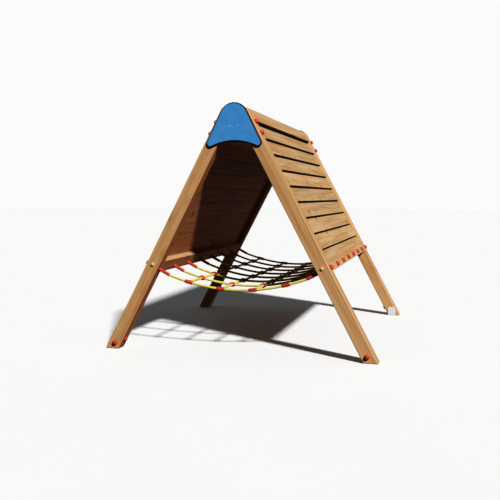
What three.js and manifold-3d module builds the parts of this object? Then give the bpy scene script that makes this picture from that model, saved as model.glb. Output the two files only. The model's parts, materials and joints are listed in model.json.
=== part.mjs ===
// A timber A-frame play tent with a rope net slung between its two boarded sides.
// Millimetres, +Z up. Origin on the ground at the middle of the footprint, +X across the A
// to the right, -Y to the front gable. Four square posts lean in to a ridge beam, boards fill
// the left and right sides, and the net hangs between the two bottom rails.
import * as THREE from 'three';
import { mergeVertices } from 'three/addons/utils/BufferGeometryUtils.js';
import Module from 'manifold-3d';

const wasm = await Module();
wasm.setup();

// ---- driving dimensions ----
const SPREAD = 2080;                 // between the outer edges of the left and right feet
const DEPTH = 2206;                  // from the posts' front faces to their rear faces
const LEAN = THREE.MathUtils.degToRad(27.8);   // lean of the posts from the vertical
const POST = 95;                     // square section of posts and bottom rails
const TOP_HEIGHT = 1795;             // the posts are sawn level here
const EDGE = 4;                      // chamfer on the long edges of the timber
const FIT = 0.3;                     // gap kept between pieces that touch

// Cladding boards are thicker at the foot than at the head, so each one overhangs the next.
const BOARD_BACK = 45;               // inner face of the boards, in from the posts' outer face
const BOARD_FOOT_IN = 10;            // outer face at a board's foot, in from the same plane
const BOARD_HEAD_IN = 27;            // and at its head
const LOW_BOARD_FOOT_IN = 1;         // the lowest board comes out to the rail's face
const BOARD_COUNT = 8;               // full boards on each side, below the flush top board
const BOARD_PITCH = 129.84;
const BOARD_START = 891.9;           // foot of the lowest full board, up the slope
const JOINT = 1;                     // gap between boards
const BOARD_EDGE = 1.5;              // chamfer on the boards' edges
const TOP_BOARD_HIGH = 99.4;
const TONGUE = 15;                   // thickness of the boards' end tongues, at the inner face
const TONGUE_LONG = 14;              // they sit this deep in a groove along each post
const RAIL_FOOT = 719;               // rail's lower edge, measured up the slope from the ground

const RIDGE_BASE = 1548;             // underside of the ridge beam
const RIDGE_CROWN = 12;              // width of the flat on its top

const BOLT = 12;                     // shank diameter of every bolt
const BORE = BOLT + 2 * FIT;
const CAP = 38;                      // domed plastic cap over a bolt end
const CAP_HIGH = 22;
const PLUG = 26;                     // smaller cap over the rail bolts
const PLUG_HIGH = 12;
const TOP_BOLTS = [1826.5, 1918.5];  // up the slope
const RAIL_BOLT_UP = 767.5;
const FOOT_BOLT_UP = 80.4;
const ANCHOR_BOLT_UP = 128;          // second ground anchor bolt, from the inner face of one post
const ANCHOR_CAP_HIGH = 14;          // on each side
const BOLT_GRIP = 30;                // reach of a top bolt into the ridge beam

const ROPE = 18;
const NET_ROPES = 8;                 // ropes from side to side
const NET_STEPS = 18;                // straight stretches that a rope's curve is made of
const NET_BOLT_UP = 749;             // their anchor bolts, up the slope
const NET_LOW = 472;                 // height of the rope's lowest point
const NET_EDGE_LIFT = 6;             // the outer ropes hang this much higher than the middle
const CROSS_STEP = 248;              // spacing of the four ropes that run front to rear
const SLEEVE = 26;                   // pressed sleeve on each rope end
const SLEEVE_LONG = 95;
const BALL = 40;                     // connector where two ropes cross
const TEE = 28;                      // connector on the net's outer ropes
const TEE_LONG = 65;

const PLATE_THICK = 15;              // gable plate
const PLATE_BEVEL = 6;
const PLATE_TOP = 1833;
const PLATE_TOP_RADIUS = 108;
const PLATE_LEAN = THREE.MathUtils.degToRad(26.4);
const PLATE_CORNER_RADIUS = 29;
const PLATE_CORNER_HEIGHT = 1545;    // centre of the lower corners
const PLATE_ARCH = 1556;             // top of the arched lower edge

const TAG_WIDE = 72;                 // blank plate on one foot
const TAG_HIGH = 78;
const TAG_THICK = 3;

// ---- derived places ----
const S = Math.sin(LEAN);
const C = Math.cos(LEAN);
const BAY = DEPTH / 2 - POST;        // half the clear length between front and rear posts
const POST_Y = DEPTH / 2 - POST / 2; // centre of a post in depth
const POST_MID = -POST / 2;          // centre of a post, in from its outer face
const RAIL_TOP = RAIL_FOOT + POST;
const BOARD_HIGH = BOARD_PITCH - JOINT;
const TOP_BOARD_FOOT = BOARD_START + BOARD_COUNT * BOARD_PITCH;
const TOP_BOARD_TOP = TOP_BOARD_FOOT + TOP_BOARD_HIGH;
const NET_PITCH = (2 * POST_Y) / (NET_ROPES - 1);

// Side frame: its origin is on the ground at the outer edge of the feet, +X out of the boards,
// +Z up the slope. The left side is the right side turned half round.
const RIGHT = new THREE.Matrix4().makeRotationY(-LEAN).setPosition(SPREAD / 2, 0, 0);
const LEFT = new THREE.Matrix4().makeRotationZ(Math.PI).multiply(RIGHT);

// ---- materials ----
const finish = (color, roughness, metalness = 0) =>
  new THREE.MeshStandardMaterial({ color, roughness, metalness, flatShading: true });
const POST_WOOD = finish(0xb98850, 0.62);
const BOARD_WOOD = finish(0xc39a62, 0.62);
const INNER_WOOD = finish(0xa97b48, 0.7);
const RED_PLASTIC = finish(0xd83a2c, 0.4);
const BEIGE_PLASTIC = finish(0xe6bf92, 0.45);
const BLUE_BOARD = finish(0x347ec0, 0.45);
const YELLOW_ROPE = finish(0xe2cf5e, 0.8);
const WHITE_PLATE = finish(0xe6e6ea, 0.5);

// ---- solids ----
function solid(geometry) {
  const bare = geometry.index ? geometry.clone() : geometry;
  for (const name of Object.keys(bare.attributes)) {
    if (name !== 'position') bare.deleteAttribute(name);
  }
  const merged = mergeVertices(bare, 1e-4);
  return new wasm.Manifold(new wasm.Mesh({
    numProp: 3,
    vertProperties: new Float32Array(merged.attributes.position.array),
    triVerts: new Uint32Array(merged.index.array),
  }));
}

function geometryOf(manifold) {
  const mesh = manifold.getMesh();
  const geometry = new THREE.BufferGeometry();
  geometry.setAttribute('position', new THREE.BufferAttribute(mesh.vertProperties, 3));
  geometry.setIndex(new THREE.BufferAttribute(mesh.triVerts, 1));
  geometry.computeVertexNormals();
  return geometry;
}

const union = (parts) => parts.reduce((sum, part) => sum.add(part));
const cut = (body, cutters) => cutters.reduce((rest, cutter) => rest.subtract(cutter), body);

// Prism along Y with the given section in X and Z.
function prism(section, y0, y1) {
  return new THREE.ExtrudeGeometry(outline(section), { depth: y1 - y0, bevelEnabled: false })
    .rotateX(Math.PI / 2).translate(0, y1, 0);
}

// Corners of a rectangle with each corner cut off.
function chamfered(a0, a1, b0, b1, c = EDGE) {
  return [[a0 + c, b0], [a1 - c, b0], [a1, b0 + c], [a1, b1 - c],
    [a1 - c, b1], [a0 + c, b1], [a0, b1 - c], [a0, b0 + c]];
}

// Section of a cladding board, with its outer face footIn in at the foot.
function boardSection(foot, top, footIn) {
  const e = BOARD_EDGE;
  return [[-BOARD_BACK + e, foot], [-footIn - e, foot], [-footIn, foot + e],
    [-BOARD_HEAD_IN, top - e], [-BOARD_HEAD_IN - e, top], [-BOARD_BACK + e, top],
    [-BOARD_BACK, top - e], [-BOARD_BACK, foot + e]];
}

// A board between the posts, with a tongue at each end that lies in the post's groove.
function board(section, foot, top) {
  const tongue = chamfered(-BOARD_BACK, -BOARD_BACK + TONGUE, foot + EDGE / 2, top - EDGE / 2,
    BOARD_EDGE);
  return geometryOf(union([prism(section, -BAY + FIT, BAY - FIT),
    prism(tongue, -BAY - TONGUE_LONG, BAY + TONGUE_LONG)].map(solid)));
}

const outline = (points) => new THREE.Shape(points.map(([a, b]) => new THREE.Vector2(a, b)));

// Turned solid about +X: [radius, x] points, starting and ending on the axis.
function turned(profile, sides) {
  const points = profile.map(([r, x]) => new THREE.Vector2(r, x));
  return new THREE.LatheGeometry(points, sides).rotateZ(-Math.PI / 2);
}

// Bore or rod along X in the side frame.
function rodX(diameter, x0, x1, y, z, sides = 10) {
  return turned([[0, x0], [diameter / 2, x0], [diameter / 2, x1], [0, x1]], sides)
    .translate(0, y, z);
}

// Bore along Y in the side frame.
function rodY(diameter, y0, y1, x, z, sides = 10) {
  return turned([[0, y0], [diameter / 2, y0], [diameter / 2, y1], [0, y1]], sides)
    .rotateZ(Math.PI / 2).translate(x, 0, z);
}

// Outline of a dome of the given width and height that starts at x.
function dome(width, high, x) {
  const rim = high * 0.3;
  const arc = [30, 60].map((degrees) => {
    const a = THREE.MathUtils.degToRad(degrees);
    return [(width / 2) * Math.cos(a), x + rim + (high - rim) * Math.sin(a)];
  });
  return [[width / 2, x], [width / 2, x + rim], ...arc, [0, x + high]];
}

// Bolt along +X with its head under a domed cap. The face that it enters is at x = 0.
function cappedBolt(reach, width, high) {
  return turned([[0, -reach], [BOLT / 2, -reach], [BOLT / 2, FIT], ...dome(width, high, FIT)],
    10);
}

// ---- net route, used by the ropes and by the connectors' bores ----
const sleeveEnd = new THREE.Vector3(-POST - SLEEVE_LONG, 0, NET_BOLT_UP).applyMatrix4(RIGHT);
const sleeveInside = new THREE.Vector3(-POST - SLEEVE_LONG + 30, 0, NET_BOLT_UP)
  .applyMatrix4(RIGHT);

// Height of the rope at distance x from the middle, for the rope at depth y.
function netHeight(x, y) {
  const low = NET_LOW + NET_EDGE_LIFT * (y / POST_Y) ** 2;
  return low + (sleeveEnd.z - low) * (x / sleeveEnd.x) ** 2;
}

function netRoute(y) {
  const points = [];
  for (let step = -4; step <= 4; step += 1) {
    const x = (step / 4) * sleeveEnd.x;
    points.push(new THREE.Vector3(x, y, netHeight(x, y)));
  }
  points.unshift(new THREE.Vector3(-sleeveInside.x, y, sleeveInside.z));
  points.push(new THREE.Vector3(sleeveInside.x, y, sleeveInside.z));
  return new THREE.CatmullRomCurve3(points);
}

function ropeTube(route, diameter, steps) {
  const shape = new THREE.Shape();
  for (let side = 0; side < 8; side += 1) {
    const a = (side + 0.5) * Math.PI / 4;
    const x = (diameter / 2) * Math.cos(a);
    const y = (diameter / 2) * Math.sin(a);
    if (side === 0) shape.moveTo(x, y); else shape.lineTo(x, y);
  }
  return new THREE.ExtrudeGeometry(shape, { steps, extrudePath: route, bevelEnabled: false });
}

// ---- the object ----
const group = new THREE.Group();

function addMesh(parent, name, geometry, material) {
  const mesh = new THREE.Mesh(geometry, material);
  mesh.name = name;
  parent.add(mesh);
  return mesh;
}

// Everything that belongs to one leaning side, in the side frame.
function buildSide(side, matrix) {
  const holder = new THREE.Group();
  holder.applyMatrix4(matrix);
  group.add(holder);
  // The left side is turned half round, so its near end points to the rear.
  const facing = side === 'right' ? { [-1]: 'front', 1: 'rear' } : { [-1]: 'rear', 1: 'front' };

  // Half of the world above the ground, below the saw cut and on this side of the middle.
  const trim = solid(new THREE.BoxGeometry(SPREAD, 2 * DEPTH, TOP_HEIGHT)
    .translate((SPREAD + FIT) / 2, 0, TOP_HEIGHT / 2)
    .applyMatrix4(RIGHT.clone().invert()));

  // Groove in the posts that the boards' tongues sit in.
  const grooveFoot = RAIL_TOP + FIT;
  const grooveTop = TOP_BOARD_TOP + FIT;

  for (const end of [-1, 1]) {
    const y0 = end > 0 ? BAY : -BAY - POST;
    const outer = end * DEPTH / 2;
    const blank = new THREE.ExtrudeGeometry(outline(chamfered(-POST, 0, y0, y0 + POST)),
      { depth: 2 * SPREAD, bevelEnabled: false }).translate(0, 0, -POST);
    const post = solid(blank).intersect(trim);
    const bores = [
      ...TOP_BOLTS.map((up) => rodX(BORE, -POST - 1, 1, end * POST_Y, up)),
      rodX(BORE, -POST - 1, 1, end * POST_Y, NET_BOLT_UP),
      rodY(BORE, outer - POST - 1, outer + POST + 1, POST_MID, RAIL_BOLT_UP),
      rodY(BORE, end > 0 ? outer - 86 : outer - 1, end > 0 ? outer + 1 : outer + 86,
        POST_MID, FOOT_BOLT_UP),
      new THREE.BoxGeometry(TONGUE + 2 * FIT, TONGUE_LONG + FIT + 1, grooveTop - grooveFoot)
        .translate(-BOARD_BACK + TONGUE / 2, end * (BAY + (TONGUE_LONG + FIT - 1) / 2),
          (grooveTop + grooveFoot) / 2),
    ];
    if (end > 0) {
      bores.push(rodX(BORE, -POST - 1, -POST + 86, end * POST_Y, ANCHOR_BOLT_UP));
    }
    const name = `${facing[end]}_${side}`;
    addMesh(holder, `${name}_post`, geometryOf(cut(post, bores.map(solid))), POST_WOOD);

    TOP_BOLTS.forEach((up, i) => {
      const bolt = cappedBolt(POST + BOLT_GRIP - 2, CAP, CAP_HIGH);
      addMesh(holder, `${name}_${i ? 'upper' : 'lower'}_ridge_bolt`, bolt, RED_PLASTIC)
        .position.set(0, end * POST_Y, up);
    });
    const railBolt = addMesh(holder, `${name}_rail_bolt`,
      cappedBolt(POST + 68, PLUG, PLUG_HIGH), BEIGE_PLASTIC);
    railBolt.position.set(POST_MID, outer, RAIL_BOLT_UP);
    railBolt.rotation.z = end * Math.PI / 2;
    const footBolt = addMesh(holder, `${name}_foot_bolt`,
      cappedBolt(84, CAP, CAP_HIGH), RED_PLASTIC);
    footBolt.position.set(POST_MID, outer, FOOT_BOLT_UP);
    footBolt.rotation.z = end * Math.PI / 2;

    if (end > 0) {
      const anchorBolt = addMesh(holder, `${name}_anchor_bolt`,
        cappedBolt(84, CAP, ANCHOR_CAP_HIGH), RED_PLASTIC);
      anchorBolt.position.set(-POST, end * POST_Y, ANCHOR_BOLT_UP);
      anchorBolt.rotation.z = Math.PI;
    }
  }

  const from = -BAY + FIT;
  const to = BAY - FIT;
  const railBores = [-1, 1].map((end) => rodY(BORE, end > 0 ? to - 72 : from - 1,
    end > 0 ? to + 1 : from + 72, POST_MID, RAIL_BOLT_UP));
  for (let rope = 1; rope < NET_ROPES - 1; rope += 1) {
    railBores.push(rodX(BORE, -POST - 1, 1, -POST_Y + rope * NET_PITCH, NET_BOLT_UP));
  }
  const rail = cut(solid(prism(chamfered(-POST, 0, RAIL_FOOT, RAIL_TOP), from, to)), railBores.map(solid));
  addMesh(holder, `${side}_bottom_rail`, geometryOf(rail), BOARD_WOOD);

  // The lowest board is lower than the rest and stands on the rail.
  const lowTop = BOARD_START - JOINT;
  const lowFoot = RAIL_TOP + 2 * FIT;
  addMesh(holder, `${side}_lowest_board`,
    board(boardSection(lowFoot, lowTop, LOW_BOARD_FOOT_IN), lowFoot, lowTop), BOARD_WOOD);
  for (let i = 0; i < BOARD_COUNT; i += 1) {
    const foot = BOARD_START + i * BOARD_PITCH;
    addMesh(holder, `${side}_board_${i + 1}`,
      board(boardSection(foot, foot + BOARD_HIGH, BOARD_FOOT_IN), foot, foot + BOARD_HIGH),
      BOARD_WOOD);
  }
  addMesh(holder, `${side}_top_board`,
    board(chamfered(-BOARD_BACK, 0, TOP_BOARD_FOOT, TOP_BOARD_TOP), TOP_BOARD_FOOT,
      TOP_BOARD_TOP), BOARD_WOOD);
}

buildSide('right', RIGHT);
buildSide('left', LEFT);

// Ridge beam: its flanks lie against the posts' inner faces.
const inward = (z) => SPREAD / 2 - (POST + FIT + z * S) / C;   // half width at height z
const crownHeight = ((SPREAD / 2 - RIDGE_CROWN / 2) * C - POST - FIT) / S;
const ridgeSection = [[-inward(RIDGE_BASE) + EDGE, RIDGE_BASE],
  [inward(RIDGE_BASE) - EDGE, RIDGE_BASE],
  [inward(RIDGE_BASE + EDGE), RIDGE_BASE + EDGE], [RIDGE_CROWN / 2, crownHeight],
  [-RIDGE_CROWN / 2, crownHeight], [-inward(RIDGE_BASE + EDGE), RIDGE_BASE + EDGE]];
const ridgeBores = [];
for (const matrix of [RIGHT, LEFT]) {
  for (const end of [-1, 1]) {
    for (const up of TOP_BOLTS) {
      const bore = rodX(BORE, -POST - BOLT_GRIP, -POST + BOLT, end * POST_Y, up);
      ridgeBores.push(solid(bore.applyMatrix4(matrix)));
    }
  }
}
const ridge = cut(solid(prism(ridgeSection, -DEPTH / 2, DEPTH / 2)), ridgeBores);
addMesh(group, 'ridge_beam', geometryOf(ridge), INNER_WOOD);

// Gable plates: a rounded top, straight flanks, rounded lower corners and an arched lower edge.
function gablePlate() {
  const topHeight = PLATE_TOP - PLATE_TOP_RADIUS;
  const flank = topHeight * Math.sin(PLATE_LEAN) + PLATE_TOP_RADIUS;
  const cornerX = (flank - PLATE_CORNER_RADIUS - PLATE_CORNER_HEIGHT * Math.sin(PLATE_LEAN))
    / Math.cos(PLATE_LEAN);
  const drop = PLATE_CORNER_HEIGHT - PLATE_ARCH;
  const archRadius = (cornerX ** 2 + drop ** 2 - PLATE_CORNER_RADIUS ** 2)
    / (2 * (PLATE_CORNER_RADIUS - drop));
  const archHeight = PLATE_ARCH - archRadius;
  const join = Math.atan2(PLATE_CORNER_HEIGHT - archHeight, cornerX);
  const shape = new THREE.Shape();
  shape.absarc(0, topHeight, PLATE_TOP_RADIUS, PLATE_LEAN, Math.PI - PLATE_LEAN);
  shape.absarc(-cornerX, PLATE_CORNER_HEIGHT, PLATE_CORNER_RADIUS,
    Math.PI - PLATE_LEAN, 2 * Math.PI - join);
  shape.absarc(0, archHeight, archRadius, Math.PI - join, join, true);
  shape.absarc(cornerX, PLATE_CORNER_HEIGHT, PLATE_CORNER_RADIUS,
    Math.PI + join, 2 * Math.PI + PLATE_LEAN);
  const bevelled = solid(new THREE.ExtrudeGeometry(shape, {
    depth: PLATE_THICK - PLATE_BEVEL, curveSegments: 5, bevelSegments: 1,
    bevelThickness: PLATE_BEVEL, bevelSize: PLATE_BEVEL, bevelOffset: -PLATE_BEVEL,
  }));
  const front = new THREE.BoxGeometry(SPREAD, SPREAD, PLATE_THICK)
    .translate(0, PLATE_TOP - SPREAD / 4, PLATE_THICK / 2);
  return geometryOf(bevelled.intersect(solid(front))).rotateX(Math.PI / 2);
}
const frontPlate = addMesh(group, 'front_gable_plate', gablePlate(), BLUE_BOARD);
frontPlate.position.y = -DEPTH / 2 - FIT;
const rearPlate = addMesh(group, 'rear_gable_plate', gablePlate(), BLUE_BOARD);
rearPlate.position.y = DEPTH / 2 + FIT;
rearPlate.rotation.z = Math.PI;

// Net ropes from side to side. Each end is pressed into a sleeve whose stud passes through the
// rail, or through the post on the two outer ropes, and is closed by a domed cap.
const fitting = turned([[0, -POST - SLEEVE_LONG], [SLEEVE / 2, -POST - SLEEVE_LONG],
  [SLEEVE / 2, -POST - FIT], [BOLT / 2, -POST - FIT], [BOLT / 2, FIT],
  ...dome(CAP, CAP_HIGH, FIT)], 10);
for (let i = 0; i < NET_ROPES; i += 1) {
  const y = -POST_Y + i * NET_PITCH;
  const parts = [
    ropeTube(netRoute(y), ROPE, NET_STEPS),
    fitting.clone().translate(0, y, NET_BOLT_UP).applyMatrix4(RIGHT),
    fitting.clone().translate(0, -y, NET_BOLT_UP).applyMatrix4(LEFT),
  ];
  addMesh(group, `net_rope_${i + 1}`, geometryOf(union(parts.map(solid))), YELLOW_ROPE);
}

// Ropes from front to rear, each with its connectors, which the other ropes pass through.
for (let k = 0; k < 4; k += 1) {
  const x = (k - 1.5) * CROSS_STEP;
  const nodes = [];
  const parts = [];
  const bores = [];
  for (let i = 0; i < NET_ROPES; i += 1) {
    const y = -POST_Y + i * NET_PITCH;
    const z = netHeight(x, y);
    const slope = Math.atan((netHeight(x + 1, y) - netHeight(x - 1, y)) / 2);
    const place = (geometry) => solid(geometry.rotateY(-slope).translate(x, y, z));
    nodes.push(new THREE.Vector3(x, y, z));
    bores.push(place(rodX(ROPE + 3, -TEE_LONG / 2 - 1, TEE_LONG / 2 + 1, 0, 0, 8)));
    if (i > 0 && i < NET_ROPES - 1) {
      parts.push(place(turned([[0, -0.5], [0.3, -0.5], [0.5, -0.2], [0.5, 0.2], [0.3, 0.5],
        [0, 0.5]].map(([r, a]) => [r * BALL, a * BALL]), 8)));
    } else {
      const inner = i === 0 ? [0, TEE + 4] : [-TEE - 4, 0];
      parts.push(place(rodX(TEE, -TEE_LONG / 2, TEE_LONG / 2, 0, 0, 8)));
      parts.push(place(rodY(TEE - 2, ...inner, 0, 0, 8)));
    }
  }
  parts.push(solid(ropeTube(new THREE.CatmullRomCurve3(nodes), ROPE, 14)));
  addMesh(group, `net_cross_rope_${k + 1}`, geometryOf(cut(union(parts), bores)), YELLOW_ROPE);
}

// Blank plate on the front face of the rear right foot.
const tagCorner = 5;
const tag = outline(chamfered(-TAG_WIDE / 2, TAG_WIDE / 2, 0, TAG_HIGH, tagCorner));
const tagMesh = addMesh(group, 'foot_plate', new THREE.ExtrudeGeometry(tag,
  { depth: TAG_THICK, bevelEnabled: false }).rotateX(Math.PI / 2), WHITE_PLATE);
tagMesh.position.set(SPREAD / 2 - 74, BAY - FIT, 2);

export default group;
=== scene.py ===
# The looks of a timber A-frame play tent with a rope net, built round its CAD frame.
# Metres. +X runs across the A to the right, -Y is the front gable, +Z is up.
import json
import math
import random

import bmesh
import bpy
import numpy as np
from mathutils import Matrix, Vector
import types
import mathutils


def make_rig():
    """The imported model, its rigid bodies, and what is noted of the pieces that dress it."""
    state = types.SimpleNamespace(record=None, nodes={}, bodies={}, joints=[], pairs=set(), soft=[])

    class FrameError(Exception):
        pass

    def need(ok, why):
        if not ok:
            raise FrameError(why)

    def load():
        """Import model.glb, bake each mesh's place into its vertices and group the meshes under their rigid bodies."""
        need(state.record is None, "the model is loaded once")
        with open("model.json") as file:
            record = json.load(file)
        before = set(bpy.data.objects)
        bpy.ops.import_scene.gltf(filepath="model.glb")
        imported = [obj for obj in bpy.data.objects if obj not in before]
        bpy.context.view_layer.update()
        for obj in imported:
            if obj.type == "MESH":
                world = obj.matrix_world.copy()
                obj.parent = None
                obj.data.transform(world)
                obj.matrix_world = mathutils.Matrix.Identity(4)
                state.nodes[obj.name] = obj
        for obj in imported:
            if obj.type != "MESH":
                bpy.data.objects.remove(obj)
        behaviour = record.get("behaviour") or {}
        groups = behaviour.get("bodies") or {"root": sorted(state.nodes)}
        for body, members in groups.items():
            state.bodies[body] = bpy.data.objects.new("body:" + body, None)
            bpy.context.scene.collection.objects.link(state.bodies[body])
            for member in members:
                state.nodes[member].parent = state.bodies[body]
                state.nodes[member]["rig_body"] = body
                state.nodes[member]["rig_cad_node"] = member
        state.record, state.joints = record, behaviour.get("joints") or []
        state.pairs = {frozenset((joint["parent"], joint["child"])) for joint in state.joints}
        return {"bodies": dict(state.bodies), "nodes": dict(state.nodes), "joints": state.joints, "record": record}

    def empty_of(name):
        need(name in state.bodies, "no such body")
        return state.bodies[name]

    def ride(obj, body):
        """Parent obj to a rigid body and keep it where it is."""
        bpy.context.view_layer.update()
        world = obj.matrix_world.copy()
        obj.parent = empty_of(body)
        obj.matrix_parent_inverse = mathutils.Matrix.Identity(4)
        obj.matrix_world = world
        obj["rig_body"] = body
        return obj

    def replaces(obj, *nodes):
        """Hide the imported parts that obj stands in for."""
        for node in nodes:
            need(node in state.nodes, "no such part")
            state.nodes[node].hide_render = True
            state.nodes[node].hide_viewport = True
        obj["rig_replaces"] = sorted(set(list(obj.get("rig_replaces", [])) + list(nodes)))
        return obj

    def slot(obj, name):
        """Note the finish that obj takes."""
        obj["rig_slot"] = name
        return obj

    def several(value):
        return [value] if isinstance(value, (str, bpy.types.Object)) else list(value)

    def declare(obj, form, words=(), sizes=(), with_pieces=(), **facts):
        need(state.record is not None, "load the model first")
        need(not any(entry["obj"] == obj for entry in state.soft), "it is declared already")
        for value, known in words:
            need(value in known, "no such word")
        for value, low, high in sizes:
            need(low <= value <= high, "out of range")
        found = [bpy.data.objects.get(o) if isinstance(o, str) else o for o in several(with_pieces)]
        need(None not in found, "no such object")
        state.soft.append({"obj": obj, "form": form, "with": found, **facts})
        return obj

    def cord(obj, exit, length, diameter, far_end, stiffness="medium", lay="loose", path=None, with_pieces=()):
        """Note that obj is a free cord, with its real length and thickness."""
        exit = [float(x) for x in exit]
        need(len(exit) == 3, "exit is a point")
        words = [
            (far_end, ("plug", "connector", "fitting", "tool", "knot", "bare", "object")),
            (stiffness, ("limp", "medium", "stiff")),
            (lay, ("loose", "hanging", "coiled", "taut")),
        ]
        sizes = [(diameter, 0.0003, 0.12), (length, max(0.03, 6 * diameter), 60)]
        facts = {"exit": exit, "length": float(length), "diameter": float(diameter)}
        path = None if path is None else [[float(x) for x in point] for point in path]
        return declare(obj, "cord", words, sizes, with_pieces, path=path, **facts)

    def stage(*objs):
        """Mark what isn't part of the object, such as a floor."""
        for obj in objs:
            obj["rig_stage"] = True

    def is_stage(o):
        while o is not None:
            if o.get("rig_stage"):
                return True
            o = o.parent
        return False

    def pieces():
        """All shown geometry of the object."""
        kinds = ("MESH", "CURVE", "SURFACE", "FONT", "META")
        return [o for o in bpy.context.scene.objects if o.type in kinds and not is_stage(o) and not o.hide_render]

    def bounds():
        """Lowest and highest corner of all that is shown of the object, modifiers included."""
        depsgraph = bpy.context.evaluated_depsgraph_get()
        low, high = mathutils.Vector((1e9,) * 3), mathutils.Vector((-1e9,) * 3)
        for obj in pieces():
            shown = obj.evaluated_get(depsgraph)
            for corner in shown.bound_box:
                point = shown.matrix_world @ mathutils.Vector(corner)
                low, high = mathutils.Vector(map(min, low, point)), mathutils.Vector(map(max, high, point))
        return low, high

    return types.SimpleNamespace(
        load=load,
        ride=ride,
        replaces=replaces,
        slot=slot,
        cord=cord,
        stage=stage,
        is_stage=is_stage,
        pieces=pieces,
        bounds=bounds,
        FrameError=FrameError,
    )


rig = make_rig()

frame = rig.load()
cad_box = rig.bounds()

# ---- dimensions, as in the CAD ----
SPREAD = 2.080                      # between the outer edges of the feet
DEPTH = 2.206                       # over the posts, front to rear
LEAN = math.radians(27.8)
S, C = math.sin(LEAN), math.cos(LEAN)
POST = 0.095                        # width of a post or a rail
TOP_HEIGHT = 1.795                  # where the posts are sawn level at the ridge
FIT = 0.0003                        # play between pieces that touch
BOARD_BACK = 0.045                  # boards' inner face, in from the posts' outer face
BOARD_FOOT_IN = 0.010               # outer face at a board's foot, and at its head
BOARD_HEAD_IN = 0.027
LOW_BOARD_FOOT_IN = 0.001           # the lowest board comes out to the rail's face
SHADOW_STRIP_SHARE = 0.58              # height of the strip painted near black as the overhang's shadow, as a share of the overhang
BOARD_COUNT = 8                     # full boards on a side
BOARD_PITCH = 0.12984
BOARD_START = 0.8919                # foot of the first full board, up the slope
JOINT = 0.001
BOARD_HIGH = BOARD_PITCH - JOINT
TOP_BOARD_HIGH = 0.0994
RAIL_FOOT = 0.719
RAIL_TOP = RAIL_FOOT + POST
RIDGE_BASE = 1.548                  # the ridge beam's underside
RIDGE_CROWN = 0.012                 # and the width of its top
CAP = 0.038                         # red bolt caps
CAP_HIGH = 0.022
PLUG = 0.026                        # beige caps
PLUG_HIGH = 0.012
TOP_BOLTS = (1.8265, 1.9185)        # bolts: distance up the slope
RAIL_BOLT_UP = 0.7675
FOOT_BOLT_UP = 0.0804
ANCHOR_BOLT_UP = 0.128
ANCHOR_CAP_HIGH = 0.014
ROPE = 0.018
NET_ROPES = 8
NET_BOLT_UP = 0.749                 # up the slope, as the other bolts
NET_LOW = 0.472                     # the net's lowest line, and its rise to front and rear
NET_EDGE_LIFT = 0.006
CROSS_ROPES = 4
CROSS_STEP = 0.248
SLEEVE = 0.026
SLEEVE_LONG = 0.095
BALL = 0.040                        # rope connectors
TEE = 0.028
TEE_LONG = 0.065
PLATE_THICK = 0.015
PLATE_EDGE = 0.008                  # radius of the milled edge
PLATE_TOP = 1.833
PLATE_TOP_RADIUS = 0.108
PLATE_LEAN = math.radians(26.4)     # of its flanks
PLATE_CORNER_RADIUS = 0.029
PLATE_CORNER_HEIGHT = 1.545         # the centres of its lower corners
PLATE_ARCH = 1.556                  # the crown of the arched lower edge
PLATE_SCREW_X = 0.0285              # the two screws on each gable plate
PLATE_SCREW_HEIGHT = 1.665
TAG_WIDE = 0.072                    # the white plate on the rear right foot
TAG_HIGH = 0.078
TAG_THICK = 0.003
TAG_IN = 0.074                      # its middle, in from the outer edge of the foot
TAG_FOOT = 0.002

BAY = DEPTH / 2 - POST              # half the clear length between front and rear posts
POST_Y = DEPTH / 2 - POST / 2
POST_MID = -POST / 2
TOP_BOARD_FOOT = BOARD_START + BOARD_COUNT * BOARD_PITCH
TOP_BOARD_TOP = TOP_BOARD_FOOT + TOP_BOARD_HIGH
NET_PITCH = 2 * POST_Y / (NET_ROPES - 1)

WORLD = Matrix.Identity(4)
HALF_TURN = Matrix.Rotation(math.pi, 4, "Z")
TO_REAR = Matrix.Rotation(math.pi / 2, 4, "Z")      # turns local X to the rear
TO_FRONT = Matrix.Rotation(-math.pi / 2, 4, "Z")
# Side frames: origin on the ground at the outer edge of the feet, +X out, +Z up the slope.
# The left side is the right one turned half round, so its -Y end is at the rear.
RIGHT = Matrix.Translation((SPREAD / 2, 0, 0)) @ Matrix.Rotation(-LEAN, 4, "Y")
LEFT = HALF_TURN @ RIGHT
SIDES = {"right": (RIGHT, {-1: "front", 1: "rear"}), "left": (LEFT, {-1: "rear", 1: "front"})}

# Pieces lighter or darker than their neighbours: tone, except the rear left post, which is darkened as painted shade.
TONE_AND_SHADE = {"front_right_post": 1.05, "front_left_post": 0.97, "rear_right_post": 1.17,
         "rear_left_post": 0.85, "right_top_board": 1.07}

draw = random.Random(27)


# ---- camera ----
SENSOR = 36.0                       # millimetres
LENS = 50.955
CAMERA_PLACE = (1.48830, -5.98906, 1.15882)
CAMERA_ANGLES = (15.683, 4.279, -0.0999)     # turn, lift and roll, in degrees


def make_camera():
    data = bpy.data.cameras.new("camera")
    data.sensor_width = SENSOR
    data.lens = LENS
    camera = bpy.data.objects.new("camera", data)
    bpy.context.scene.collection.objects.link(camera)
    turn, lift, roll = (math.radians(v) for v in CAMERA_ANGLES)
    back = Vector((math.sin(turn) * math.cos(lift), -math.cos(turn) * math.cos(lift),
                   math.sin(lift)))
    level = Vector((math.cos(turn), math.sin(turn), 0))
    over = back.cross(level)
    right = math.cos(roll) * level + math.sin(roll) * over
    up = -math.sin(roll) * level + math.cos(roll) * over
    pose = Matrix((right, up, back)).transposed().to_4x4()
    pose.translation = CAMERA_PLACE
    camera.matrix_world = pose
    bpy.context.scene.camera = camera


make_camera()


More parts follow.
